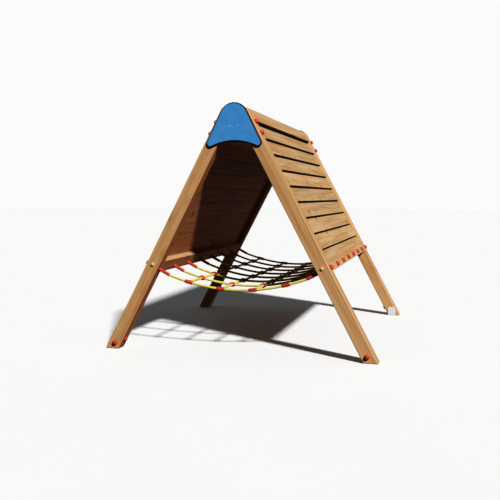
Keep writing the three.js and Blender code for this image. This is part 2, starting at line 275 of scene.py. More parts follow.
# ---- materials ----
class Shader:
    """A material's node tree, with short calls for the nodes used here."""

    def __init__(self, name):
        self.material = bpy.data.materials.new(name)
        self.material.use_nodes = True
        self.tree = self.material.node_tree
        self.bsdf = self.tree.nodes["Principled BSDF"]

    def feed(self, socket, value):
        if isinstance(value, bpy.types.NodeSocket):
            self.tree.links.new(value, socket)
        else:
            socket.default_value = value

    def add(self, kind, inputs=None, **settings):
        node = self.tree.nodes.new("ShaderNode" + kind)
        for key, value in settings.items():
            setattr(node, key, value)
        for key, value in (inputs or {}).items():
            self.feed(node.inputs[key], value)
        return node

    def attribute(self, name, output="Vector"):
        return self.add("Attribute", attribute_name=name).outputs[output]

    def math(self, operation, *values, clamp=False):
        node = self.add("Math", operation=operation, use_clamp=clamp)
        for socket, value in zip(node.inputs, values):
            self.feed(socket, value)
        return node.outputs[0]

    def vector(self, operation, *values):
        node = self.add("VectorMath", operation=operation)
        for socket, value in zip(node.inputs, values):
            self.feed(socket, value)
        return node.outputs["Vector"]

    def split(self, vector):
        return self.add("SeparateXYZ", {"Vector": vector}).outputs

    def noise(self, vector, scale=1.0, detail=2.0, rough=0.5, output="Fac"):
        return self.add("TexNoise", {"Vector": vector, "Scale": scale, "Detail": detail,
                                     "Roughness": rough}).outputs[output]

    def band(self, value, low, high, out_low=0.0, out_high=1.0):
        """value eased from out_low at low to out_high at high."""
        return self.add("MapRange", {"Value": value, "From Min": low, "From Max": high,
                                     "To Min": out_low, "To Max": out_high},
                        interpolation_type="SMOOTHSTEP").outputs["Result"]

    def mix(self, factor, first, second, blend="MIX"):
        node = self.add("Mix", data_type="RGBA", blend_type=blend)
        for index, value in ((0, factor), (6, first), (7, second)):
            self.feed(node.inputs[index], value)
        return node.outputs[2]

    def bump(self, height, strength, distance):
        node = self.add("Bump", {"Height": height, "Strength": strength, "Distance": distance})
        self.feed(self.bsdf.inputs["Normal"], node.outputs["Normal"])

    def surface(self, **values):
        for key, value in values.items():
            self.feed(self.bsdf.inputs[key.replace("_", " ")], value)
        return self.material


RING_PITCH = 0.0072                 # between growth rings
KNOT_SHARE = 0.52                   # cells with a random value above this have a knot
KNOT_RING = 190.0                   # rings in a knot: radians per unit of cell distance
FLAME = (0.55, 0.215, 0.065, 1.0)
KNOT_HALO = (0.36, 0.140, 0.040, 1.0)
CHECK = (0.045, 0.020, 0.008, 1.0)
END_GRAIN = (0.27, 0.135, 0.050, 1.0)
# lighter edges: partly rubbed wear, partly a painted highlight along the arrises
WORN_EDGE_AND_HIGHLIGHT = (0.64, 0.44, 0.23, 1.0)
# near black, painted as the shade under the boards' overlaps
PAINTED_SHADE_BLACK = (0.006, 0.004, 0.003, 1.0)
# painted shade, multiplied into the colour of faces turned to the inside
INNER_SHADE_TINT = (0.80, 0.55, 0.45, 1.0)


def wood(name, light, dark, knot_colour):
    """Oiled softwood: growth rings round a pith, streaks, fibres, knots, drying checks."""
    s = Shader(name)
    grain = s.attribute("grain")             # along the grain, then across from the pith
    wander = s.noise(s.vector("MULTIPLY", grain, (1.4, 5.0, 5.0)), detail=3.0,
                     output="Color")
    shift = s.vector("MULTIPLY", s.vector("SUBTRACT", wander, (0.5, 0.5, 0.5)),
                     (0.0, 0.034, 0.034))
    bent = s.vector("ADD", grain, shift)

    cells = s.add("TexVoronoi", {"Vector": s.vector("MULTIPLY", bent, (5.2, 9.0, 9.0)),
                                 "Scale": 1.0})
    kept = s.math("GREATER_THAN", s.split(cells.outputs["Color"])[0], KNOT_SHARE)
    away = cells.outputs["Distance"]
    knot = s.math("MULTIPLY", s.band(away, 0.125, 0.085), kept)
    halo = s.math("MULTIPLY", s.band(away, 0.42, 0.10), kept)

    across = s.split(bent)
    radius = s.math("SQRT", s.math("ADD", s.math("POWER", across[1], 2.0),
                                   s.math("POWER", across[2], 2.0)))
    radius = s.math("ADD", radius, s.math("MULTIPLY", halo, 0.016))
    turns = s.math("MULTIPLY", radius, 2 * math.pi / RING_PITCH)
    ring = s.math("POWER", s.math("MULTIPLY_ADD", s.math("SINE", turns), 0.5, 0.5), 2.2)
    streak = s.noise(s.vector("MULTIPLY", bent, (1.1, 26.0, 26.0)), detail=4.0, rough=0.6)
    fine = s.band(s.noise(s.vector("MULTIPLY", bent, (0.8, 75.0, 75.0)), detail=2.0),
                  0.40, 0.62)
    flame = s.band(s.noise(s.vector("MULTIPLY", bent, (0.55, 9.0, 9.0)), detail=3.0),
                   0.50, 0.68)
    fibre = s.noise(s.vector("MULTIPLY", grain, (9.0, 420.0, 420.0)), detail=3.0)
    check = s.math("MULTIPLY",
                   s.band(s.noise(s.vector("MULTIPLY", grain, (2.2, 150.0, 150.0)),
                                  detail=1.0), 0.735, 0.76),
                   s.band(s.noise(s.vector("MULTIPLY", grain, (1.6, 3.0, 3.0)), detail=1.0),
                          0.56, 0.64))

    shade = s.math("ADD", s.math("MULTIPLY", ring, 0.34),
                   s.math("MULTIPLY", s.band(streak, 0.38, 0.66), 0.62))
    shade = s.math("ADD", shade, s.math("MULTIPLY_ADD", fine, 0.34, -0.10), clamp=True)
    colour = s.mix(shade, light, dark)
    colour = s.mix(s.math("MULTIPLY", flame, 0.44), colour, FLAME)
    colour = s.mix(s.math("MULTIPLY_ADD", fibre, 0.34, -0.04, clamp=True), colour, dark)
    colour = s.mix(s.math("MULTIPLY", halo, 0.42), colour, KNOT_HALO)
    heart = s.math("MULTIPLY_ADD", s.math("SINE", s.math("MULTIPLY", away, KNOT_RING)),
                   0.16, 0.8)
    colour = s.mix(s.math("MULTIPLY", knot, heart), colour, knot_colour)
    colour = s.mix(s.math("MULTIPLY", check, 0.85), colour, CHECK)

    end = s.attribute("end", "Fac")
    colour = s.mix(s.math("MULTIPLY", end, 0.45), colour, END_GRAIN)
    # the middle one of the three distances to the faces is small only along an edge
    section, half = s.attribute("section"), s.attribute("half")
    gaps = s.split(s.vector("SUBTRACT", half, s.vector("ABSOLUTE", section)))
    nearest = s.math("MINIMUM", s.math("MINIMUM", gaps[0], gaps[1]), gaps[2])
    furthest = s.math("MAXIMUM", s.math("MAXIMUM", gaps[0], gaps[1]), gaps[2])
    total = s.math("ADD", s.math("ADD", gaps[0], gaps[1]), gaps[2])
    edge = s.math("SUBTRACT", s.math("SUBTRACT", total, nearest), furthest)
    # edges lightened in patches: partly rubbed wear, partly a painted highlight
    worn_and_highlight = s.math("MULTIPLY", s.band(edge, 0.0075, 0.0015),
                  s.band(s.noise(grain, 9.0, detail=3.0), 0.30, 0.62))
    colour = s.mix(s.math("MULTIPLY", worn_and_highlight, 0.12), colour, WORN_EDGE_AND_HIGHLIGHT)
    # painted shade: the underside of a board and the strip below its overlap are painted near black, as the shadow
    # there
    shadow_strip = s.attribute("shadow_strip", "Fac")
    across_board, board_half = s.split(section), s.split(half)
    from_head = s.math("SUBTRACT", board_half[1], across_board[1])
    from_foot = s.math("ADD", board_half[1], across_board[1])
    wobble = s.math("MULTIPLY_ADD", s.noise(grain, 60.0), 0.0016, -0.0008)
    strip_shadow_mask = s.math("SUBTRACT", s.math("ADD", shadow_strip, wobble), from_head)
    # above 0 all over the outer face, which leans back towards the head
    outside = s.math("MULTIPLY_ADD", board_half[0], 0.5, across_board[0])
    strip_shadow_mask = s.math("MULTIPLY", s.band(strip_shadow_mask, -0.0006, 0.0006),
                       s.math("GREATER_THAN", outside, 0.0))
    under = s.band(from_foot, 0.0020, 0.0008)
    painted_shade_mask = s.math("MAXIMUM",
                  s.math("MULTIPLY", strip_shadow_mask, s.math("GREATER_THAN", shadow_strip, 0.0)),
                  s.math("MULTIPLY", under, s.attribute("lip", "Fac")))
    colour = s.mix(s.math("MULTIPLY", painted_shade_mask, 0.97), colour, PAINTED_SHADE_BLACK)
    # painted shade: faces turned to the inside are darkened and reddened to the colour of the shaded interior
    inner = s.band(s.math("ADD", board_half[0], across_board[0]), 0.0016, 0.0006)
    colour = s.mix(inner, colour, s.mix(1.0, colour, INNER_SHADE_TINT, "MULTIPLY"))
    # per-piece tone; for the rear left post it holds painted shade too
    tone = s.attribute("tone", "Fac")
    grey = s.add("CombineXYZ", {0: tone, 1: tone, 2: tone}).outputs[0]
    colour = s.mix(1.0, colour, grey, "MULTIPLY")

    height = s.math("ADD", s.math("MULTIPLY", ring, 0.22), s.math("MULTIPLY", fibre, 0.7))
    height = s.math("SUBTRACT", height, s.math("MULTIPLY", check, 2.2))
    height = s.math("SUBTRACT", height, s.math("MULTIPLY", knot, 0.5))
    s.bump(height, 0.55, 0.0007)
    return s.surface(Base_Color=colour, Roughness=s.math("MULTIPLY_ADD", fibre, 0.24, 0.50),
                     Specular_IOR_Level=0.35)


DUST = (0.8, 0.78, 0.74, 1.0)
YARN_PITCH = 0.0075                 # between yarns along a strand
YARN_TURNS = 3                      # yarns across a strand
DULL_ZINC = (0.40, 0.39, 0.37, 1.0)


def plastic(name, base, shade, rough=0.36, pebble=900.0, depth=0.25, gloss=0.5):
    """Moulded or milled plastic: faint cloudiness, fine pebbled skin, dust and scuffs."""
    s = Shader(name)
    place = s.add("TexCoord").outputs["Object"]
    cloud = s.noise(place, 14.0, detail=4.0)
    skin = s.noise(place, pebble, detail=2.0)
    scuff = s.band(s.noise(s.vector("MULTIPLY", place, (60.0, 60.0, 240.0)), detail=3.0),
                   0.62, 0.72)
    colour = s.mix(s.band(cloud, 0.35, 0.70), base, shade)
    colour = s.mix(s.math("MULTIPLY", scuff, 0.10), colour, DUST)
    s.bump(skin, depth, 0.0004)
    return s.surface(Base_Color=colour, Specular_IOR_Level=gloss,
                     Roughness=s.math("MULTIPLY_ADD", s.math("ADD", cloud, scuff), 0.14,
                                      rough - 0.07))


def rope_material(name, base, shade, groove):
    """Braided strands: yarns across each strand, painted shade in the hollows between yarns and strands, a little
    soiling.
    """
    s = Shader(name)
    lay = s.split(s.attribute("lay"))        # along, strand number, height of the strand
    yarn = s.math("SINE", s.math(
        "ADD", s.math("MULTIPLY", lay[0], 2 * math.pi / YARN_PITCH),
        s.math("MULTIPLY", lay[1], 2 * math.pi * YARN_TURNS)))
    place = s.add("TexCoord").outputs["Object"]
    fuzz = s.noise(place, 700.0, detail=3.0)
    soil = s.noise(place, 26.0, detail=4.0)
    colour = s.mix(s.band(soil, 0.35, 0.72), base, shade)
    # painted shade: darker between the yarns and in the hollows between the strands
    colour = s.mix(s.math("MULTIPLY", s.band(yarn, 0.1, -0.9), 0.30), colour, groove)
    colour = s.mix(s.math("MULTIPLY", s.band(lay[2], 0.55, 0.0), 0.75), colour, groove)
    height = s.math("ADD", s.math("MULTIPLY", yarn, 0.5), s.math("MULTIPLY", fuzz, 0.5))
    s.bump(height, 0.6, 0.0008)
    return s.surface(Base_Color=colour, Sheen_Weight=0.08, Sheen_Roughness=0.5,
                     Roughness=s.math("MULTIPLY_ADD", fuzz, 0.2, 0.62))


def metal(name, tint, rough):
    """Zinc-plated steel: brushed, with dull patches."""
    s = Shader(name)
    place = s.add("TexCoord").outputs["Object"]
    patch = s.noise(place, 120.0, detail=3.0)
    brush = s.noise(s.vector("MULTIPLY", place, (400.0, 2600.0, 2600.0)), detail=2.0)
    colour = s.mix(s.band(patch, 0.35, 0.7), tint, DULL_ZINC)
    s.bump(brush, 0.2, 0.0002)
    return s.surface(Base_Color=colour, Metallic=0.9,
                     Roughness=s.math("MULTIPLY_ADD", patch, 0.25, rough))


POST_WOOD = wood("post_wood", (0.660, 0.405, 0.205, 1.0), (0.415, 0.200, 0.075, 1.0),
                 (0.105, 0.045, 0.018, 1.0))
BOARD_WOOD = wood("board_wood", (0.578, 0.392, 0.212, 1.0), (0.363, 0.199, 0.086, 1.0),
                  (0.115, 0.050, 0.020, 1.0))
# a darker, redder copy of the board wood, painted shade for the ridge beam inside the roof
SHADED_INNER_WOOD = wood("inner_wood", (0.450, 0.270, 0.120, 1.0), (0.300, 0.155, 0.058, 1.0),
                  (0.095, 0.040, 0.016, 1.0))
RED = plastic("red_plastic", (0.540, 0.056, 0.034, 1.0), (0.460, 0.045, 0.027, 1.0),
              rough=0.42, gloss=0.28)
BEIGE = plastic("beige_plastic", (0.740, 0.460, 0.230, 1.0), (0.650, 0.390, 0.190, 1.0))
BLUE = plastic("blue_board", (0.078, 0.298, 0.685, 1.0), (0.066, 0.266, 0.625, 1.0),
               rough=0.42, pebble=1400.0, depth=0.35)
CORE = plastic("black_core", (0.006, 0.006, 0.007, 1.0), (0.011, 0.011, 0.012, 1.0),
               rough=0.6, gloss=0.2)
LIGHT_BLUE = plastic("screw_cover_blue", (0.180, 0.440, 0.760, 1.0),
                     (0.150, 0.390, 0.700, 1.0))
WHITE = plastic("white_plate", (0.860, 0.855, 0.880, 1.0), (0.800, 0.800, 0.830, 1.0))
# the last colour is painted shade for the rope's hollows
YELLOW = rope_material("yellow_rope", (0.880, 0.780, 0.175, 1.0),
                       (0.780, 0.660, 0.125, 1.0), (0.270, 0.200, 0.030, 1.0))
ZINC = metal("zinc", (0.62, 0.61, 0.58, 1.0), 0.28)


# ---- meshes ----
def add_piece(name, mesh, materials, slot, nodes=()):
    """A piece with its mesh in world places, riding on the one body."""
    for material in materials:
        mesh.materials.append(material)
    piece = bpy.data.objects.new(name, mesh)
    bpy.context.scene.collection.objects.link(piece)
    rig.ride(piece, "root")
    if nodes:
        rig.replaces(piece, *nodes)
    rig.slot(piece, slot)
    return piece


def smooth(mesh):
    for face in mesh.polygons:
        face.use_smooth = True


def keep_flats(piece):
    """Flat faces stay flat beside their rounded edges."""
    smooth(piece.data)
    piece.modifiers.new("flat_faces", "WEIGHTED_NORMAL").weight = 100
    return piece


def wall(bm, lower, upper, layer=0):
    """Faces between two closed rings of vertices."""
    count = len(lower)
    for i in range(count):
        j = (i + 1) % count
        face = bm.faces.new((lower[i], lower[j], upper[j], upper[i]))
        face.material_index = layer


def to_mesh(bm, name):
    """The finished mesh, its faces turned outwards."""
    bmesh.ops.recalc_face_normals(bm, faces=bm.faces[:])
    mesh = bpy.data.meshes.new(name)
    bm.to_mesh(mesh)
    bm.free()
    return mesh


def set_attribute(mesh, name, kind, domain, values):
    layer = mesh.attributes.new(name, kind, domain)
    key = "value" if kind == "FLOAT" else "vector"
    layer.data.foreach_set(key, np.asarray(values, np.float32).ravel())


def cut_off(bm, point, normal):
    """Removes what lies beyond a plane and closes the cut."""
    geometry = bm.verts[:] + bm.edges[:] + bm.faces[:]
    bmesh.ops.bisect_plane(bm, geom=geometry, plane_co=point, plane_no=normal,
                           clear_outer=True)
    rim = [edge for edge in bm.edges if edge.is_boundary]
    bmesh.ops.holes_fill(bm, edges=rim, sides=0)


def timber(name, section, span, axis, place, material, slot, nodes, soften, cuts=(),
           shadow_strip=0.0, lip=False):
    """A sawn piece. section holds its outline across the grain, span its ends along it;
    axis is 1 where the grain runs along local Y and 2 where it runs along local Z. soften is
    the radius of its edges. strip is the height at a board's head, under the next board's
    overhang, that is painted near black as that overhang's shadow; lip marks a board whose
    foot stands out over the one below, and its underside is painted near black as shade."""
    def corner(a, b, t):
        return (a, t, b) if axis == 1 else (a, b, t)

    bm = bmesh.new()
    rings = [[bm.verts.new(corner(a, b, t)) for a, b in section] for t in span]
    wall(bm, rings[0], rings[1])
    bm.faces.new(rings[0])
    bm.faces.new(rings[1])
    for point, normal in cuts:
        cut_off(bm, point, normal)
    bmesh.ops.recalc_face_normals(bm, faces=bm.faces[:])
    sharp = [e for e in bm.edges if e.calc_face_angle(0.0) > math.radians(15)]
    bmesh.ops.bevel(bm, geom=sharp, offset=soften, offset_type="OFFSET", segments=4,
                    profile=0.5, affect="EDGES", clamp_overlap=True)
    mesh = to_mesh(bm, name)

    points = np.array([v.co for v in mesh.vertices])
    along, first, second = points[:, axis], points[:, 0], points[:, 3 - axis]
    box = [(values.min(), values.max()) for values in (first, second, along)]
    centred = [values - (low + high) / 2
               for values, (low, high) in zip((first, second, along), box)]
    half = [(high - low) / 2 for low, high in box]
    pith = (draw.uniform(0.03, 0.09) * draw.choice((-1, 1)), draw.uniform(-0.07, 0.07))
    if half[0] > half[1]:
        pith = pith[::-1]
    start = draw.uniform(0, 40)
    set_attribute(mesh, "grain", "FLOAT_VECTOR", "POINT",
                  np.stack([centred[2] + start, centred[0] + pith[0],
                            centred[1] + pith[1]], axis=1))
    set_attribute(mesh, "section", "FLOAT_VECTOR", "POINT", np.stack(centred, axis=1))
    set_attribute(mesh, "half", "FLOAT_VECTOR", "POINT", np.tile(half, (len(points), 1)))
    # the rear left post's factor is painted shade
    tone = draw.uniform(0.90, 1.08) * TONE_AND_SHADE.get(nodes[0], 1.0)
    set_attribute(mesh, "tone", "FLOAT", "POINT", np.full(len(points), tone))
    # painted shade: how high the head strip painted as shadow is, and whether the underside is painted dark
    set_attribute(mesh, "shadow_strip", "FLOAT", "POINT", np.full(len(points), shadow_strip))
    set_attribute(mesh, "lip", "FLOAT", "POINT", np.full(len(points), float(lip)))
    set_attribute(mesh, "end", "FLOAT", "FACE",
                  [float(abs(face.normal[axis]) > 0.8) for face in mesh.polygons])
    mesh.transform(place)
    return keep_flats(add_piece(name, mesh, [material], slot, nodes))


def lathe(bm, profile, matrix, sides):
    """Adds a turned body about local X: (radius, x) points from axis to axis."""
    rings = []
    for radius, x in profile:
        if radius < 1e-7:
            rings.append([bm.verts.new(matrix @ Vector((x, 0, 0)))])
            continue
        rings.append([bm.verts.new(matrix @ Vector((
            x, radius * math.cos(2 * math.pi * k / sides),
            radius * math.sin(2 * math.pi * k / sides)))) for k in range(sides)])
    for below, above in zip(rings, rings[1:]):
        if len(below) > 1 and len(above) > 1:
            wall(bm, above, below)
            continue
        for k in range(sides):
            n = (k + 1) % sides
            if len(below) == 1:
                bm.faces.new((below[0], above[k], above[n]))
            else:
                bm.faces.new((below[k], above[0], below[n]))


def rounded(profile, radius, steps=4):
    """The profile with its corners rounded: each corner becomes a short curve."""
    out = [profile[0]]
    for before, corner, after in zip(profile, profile[1:], profile[2:]):
        a, b, c = (Vector(p) for p in (before, corner, after))
        first, last = (a - b), (c - b)
        reach = min(radius, first.length * 0.45, last.length * 0.45)
        start, stop = b + first.normalized() * reach, b + last.normalized() * reach
        for k in range(steps + 1):
            t = k / steps
            out.append(tuple((1 - t) ** 2 * start + 2 * t * (1 - t) * b + t * t * stop))
    out.append(profile[-1])
    return out


def turned_piece(name, profile, matrix, material, slot, nodes=(), sides=40):
    bm = bmesh.new()
    lathe(bm, profile, matrix, sides)
    mesh = to_mesh(bm, name)
    smooth(mesh)
    return add_piece(name, mesh, [material], slot, nodes)


def dome_profile(width, high):
    """A two-part bolt cap: a washer-like base, a shadow groove and a domed lid."""
    r, rim, steps = width / 2, 0.30 * high, 12
    neck, edge, groove = 0.93 * r, 0.955 * r, 0.001
    foot = rounded([(0, FIT), (r * 0.98, FIT), (r, FIT + 0.02 * high),
                    (r, FIT + rim), (neck, FIT + rim)], 0.0008, 3)
    lid = [(neck, FIT + rim + 0.6 * groove), (edge, FIT + rim + groove)]
    for k in range(1, steps):
        a = math.radians(90 * k / steps)
        lid.append((edge * math.cos(a) ** 0.86,
                    FIT + rim + groove + (high - rim - groove) * math.sin(a) ** 0.95))
    return foot + lid + [(0.0, FIT + high)]


# ---- the net ----
SLEEVE_END = RIGHT @ Vector((-POST - SLEEVE_LONG, 0, NET_BOLT_UP))
ROPE_END = RIGHT @ Vector((-POST - 0.005, 0, NET_BOLT_UP))
ROPE_PLACES = [-POST_Y + i * NET_PITCH for i in range(NET_ROPES)]
STRANDS = 6
ROUND = 4                           # points round each strand
LAY = 0.105                         # length of one full turn of the strands
STRAND_SHAPE = (0.80, 0.945, 1.0, 0.945)
STRAND_SWELL = 1.08                 # the strands' crowns stand proud of the nominal size
ROPE_STEP = 0.005                   # between the rings of a rope's mesh
PATH_PARTS = 38                     # parts of the path stated for a cord
VOXEL = 0.0011                      # moulded connectors


def net_height(x, y):
    """The sagging net: a parabola from sleeve to sleeve, a little higher at each end."""
    low = NET_LOW + NET_EDGE_LIFT * (y / POST_Y) ** 2
    return low + (SLEEVE_END.z - low) * (x / SLEEVE_END.x) ** 2


def evenly(points, step):
    """The polyline's points again, at equal steps along it."""
    points = np.array(points)
    reach = np.concatenate([[0], np.cumsum(np.linalg.norm(np.diff(points, axis=0), axis=1))])
    count = max(2, round(reach[-1] / step)) + 1
    at = np.linspace(0, reach[-1], count)
    return np.stack([np.interp(at, reach, points[:, i]) for i in range(3)], axis=1), reach[-1]


def net_route(y):
    """A net rope from inside one sleeve, down its sag and into the other sleeve."""
    half = [Vector((x, y, net_height(x, y))) for x in np.linspace(0, SLEEVE_END.x, 40)]
    sleeve = [Vector((ROPE_END.x, y, ROPE_END.z)).lerp(half[-1], t) for t in (0.66, 0.33, 0)]
    right = half + sleeve
    left = [Vector((-p.x, p.y, p.z)) for p in right[:0:-1]]
    return left + right


def cross_route(x):
    """A rope from front to rear, through the middle of every net rope."""
    return [Vector((x, y, net_height(x, y))) for y in np.linspace(-POST_Y, POST_Y, 60)]


def make_rope(name, route, nodes):
    """A laid rope of six strands along the route, with its path and length."""
    centres, length = evenly(route, ROPE_STEP)
    tangents = np.gradient(centres, axis=0)
    tangents /= np.linalg.norm(tangents, axis=1)[:, None]
    side = np.cross(tangents, (0.0, 0.0, 1.0))
    side /= np.linalg.norm(side, axis=1)[:, None]
    over = np.cross(side, tangents)
    around = STRANDS * ROUND
    index = np.arange(around)
    radius = ROPE / 2 * STRAND_SWELL * np.array(STRAND_SHAPE)[index % ROUND]
    distance = np.linspace(0, length, len(centres))
    angle = 2 * np.pi * (index[None, :] / around + distance[:, None] / LAY)
    rings = (centres[:, None, :]
             + (radius * np.cos(angle))[..., None] * side[:, None, :]
             + (radius * np.sin(angle))[..., None] * over[:, None, :])
    verts = np.concatenate([rings.reshape(-1, 3), centres[[0, -1]]])
    faces, lay = [], []
    height = (np.array(STRAND_SHAPE) - min(STRAND_SHAPE)) / (1 - min(STRAND_SHAPE))
    last = len(centres) - 1
    for i in range(last):
        for k in range(around):
            n = (k + 1) % around
            faces.append((i * around + k, i * around + n, (i + 1) * around + n,
                          (i + 1) * around + k))
            low, high = height[k % ROUND], height[n % ROUND]
            lay += [(distance[i], k / ROUND, low), (distance[i], (k + 1) / ROUND, high),
                    (distance[i + 1], (k + 1) / ROUND, high),
                    (distance[i + 1], k / ROUND, low)]
    for ring, middle in ((0, len(verts) - 2), (last, len(verts) - 1)):
        for k in range(around):
            n = (k + 1) % around
            pair = (ring * around + n, ring * around + k)
            faces.append((*(pair if ring == 0 else pair[::-1]), middle))
            lay += [(distance[ring], 0, 0)] * 3
    mesh = bpy.data.meshes.new(name)
    mesh.from_pydata(verts.tolist(), [], faces)
    set_attribute(mesh, "lay", "FLOAT_VECTOR", "CORNER", lay)
    smooth(mesh)
    piece = add_piece(name, mesh, [YELLOW], "net_rope", nodes)
    path = evenly(route, length / PATH_PARTS)[0]
    return piece, path, length


def facing_matrix(x, y):
    """A frame on the net at (x, y), local X along the rope from side to side."""
    step = 0.001
    slope = math.atan((net_height(x + step, y) - net_height(x - step, y)) / (2 * step))
    return Matrix.Translation((x, y, net_height(x, y))) @ Matrix.Rotation(-slope, 4, "Y")


def joined(name, *bodies):
    """One moulded mesh from overlapping turned bodies, with soft fillets between them."""
    bm = bmesh.new()
    for profile, matrix in bodies:
        lathe(bm, profile, matrix, 32)
    helper = bpy.data.objects.new(name, to_mesh(bm, name))
    bpy.context.scene.collection.objects.link(helper)
    remesh = helper.modifiers.new("remesh", "REMESH")
    remesh.mode = "VOXEL"
    remesh.voxel_size = VOXEL
    fillet = helper.modifiers.new("fillet", "SMOOTH")
    fillet.iterations = 3
    fillet.factor = 0.5
    graph = bpy.context.evaluated_depsgraph_get()
    result = bpy.data.meshes.new_from_object(helper.evaluated_get(graph))
    bpy.data.objects.remove(helper)
    return result


def ball_mesh():
    """A two-part ball connector with four short collars, a seam and a screw recess."""
    r, collar_radius, reach, steps = BALL / 2, 0.0125, BALL / 2 + 0.004, 24
    seam_deep, recess_radius, recess_deep = 0.0008, 0.0055, 0.0022
    ball = [(r * math.sin(math.pi * k / steps), -r * math.cos(math.pi * k / steps))
            for k in range(steps + 1)]
    ball[0], ball[-1] = (0, -r), (0, r)
    collar = rounded([(0, -reach), (collar_radius, -reach), (collar_radius, reach),
                      (0, reach)], 0.002)
    mesh = joined("ball", (ball, WORLD), (collar, WORLD), (collar, TO_REAR))
    for vertex in mesh.vertices:
        seam = max(0.0, 1 - abs(vertex.co.z) / VOXEL)
        vertex.co -= vertex.co.normalized() * (seam_deep * seam)
        if math.hypot(vertex.co.x, vertex.co.y) < recess_radius:
            vertex.co.z -= math.copysign(recess_deep, vertex.co.z)
    return mesh


def tee_mesh():
    """A moulded tee: a barrel along the outer rope and a stem that takes the cross rope."""
    half, r = TEE_LONG / 2, TEE / 2
    barrel = rounded([(0, -half), (r - 0.002, -half), (r - 0.002, -half + 0.007),
                      (r, -half + 0.007), (r, half - 0.007), (r - 0.002, half - 0.007),
                      (r - 0.002, half), (0, half)], 0.0015)
    stem = rounded([(0, 0), (r - 0.001, 0), (r - 0.001, TEE + 0.001),
                    (r - 0.0025, TEE + 0.001), (r - 0.0025, TEE + 0.004),
                    (0, TEE + 0.004)], 0.001)
    return joined("tee", (barrel, WORLD), (stem, TO_REAR))


def place_copy(name, source, matrix, nodes):
    mesh = source.copy()
    mesh.transform(matrix)
    smooth(mesh)
    return add_piece(name, mesh, [RED], "net_connector", nodes)


def sleeve_profile():
    """The pressed sleeve on a rope's end, with a flange against the timber."""
    flange, inner, outer = SLEEVE / 2, -POST - SLEEVE_LONG, -POST
    r, groove = flange - 0.0005, flange - 0.0016
    return rounded([(0, inner), (flange - 0.003, inner), (r, inner + 0.010),
                    (r, inner + 0.030), (groove, inner + 0.031),
                    (groove, inner + 0.035), (r, inner + 0.036),
                    (r, outer - 0.034), (groove, outer - 0.033),
                    (groove, outer - 0.029), (r, outer - 0.028),
                    (r, outer - 0.010), (flange, outer - 0.009), (flange, outer - FIT),
                    (0, outer - FIT)], 0.0012, 3)


def make_net():
    sleeve, cap = sleeve_profile(), dome_profile(CAP, CAP_HIGH)
    for number, y in enumerate(ROPE_PLACES, 1):
        node = f"net_rope_{number}"
        rope, path, length = make_rope(f"rope_{number}", net_route(y), [node])
        fittings = []
        for side, (matrix, _) in SIDES.items():
            along = y if side == "right" else -y
            place = matrix @ Matrix.Translation((0, along, NET_BOLT_UP))
            fittings.append(turned_piece(f"rope_{number}_{side}_sleeve", sleeve, place, RED,
                                         "net_connector", [node]))
            turned_piece(f"rope_{number}_{side}_cap", cap, place, RED, "red_cap", [node])
        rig.cord(rope, exit=path[0], length=length, diameter=ROPE, far_end="object",
                stiffness="medium", lay="hanging", path=path, with_pieces=fittings)

    ball, tee = ball_mesh(), tee_mesh()
    for k in range(1, CROSS_ROPES + 1):
        x = (k - (CROSS_ROPES + 1) / 2) * CROSS_STEP
        node = f"net_cross_rope_{k}"
        rope, path, length = make_rope(f"cross_rope_{k}", cross_route(x), [node])
        joints = []
        for number, y in enumerate(ROPE_PLACES, 1):
            place = facing_matrix(x, y)
            if 1 < number < NET_ROPES:
                joints.append(place_copy(f"ball_{k}_{number}", ball, place, [node]))
                continue
            if number > 1:
                place = place @ HALF_TURN
            joints.append(place_copy(f"tee_{k}_{number}", tee, place, [node]))
        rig.cord(rope, exit=path[0], length=length, diameter=ROPE, far_end="object",
                stiffness="medium", lay="hanging", path=path, with_pieces=joints)


make_net()


# ---- the two leaning sides ----
POST_BLANK = (-0.1, 2.3)            # a post's ends before it is sawn to fit
POST_EDGE = 0.006                   # radius of the softened edges
RAIL_EDGE = 0.0014
LOW_BOARD_EDGE = 0.0012
BOARD_EDGE = 0.0022
TOP_BOARD_EDGE = 0.004
RIDGE_EDGE = 0.004


def rectangle(a0, a1, b0, b1):
    return [(a0, b0), (a1, b0), (a1, b1), (a0, b1)]


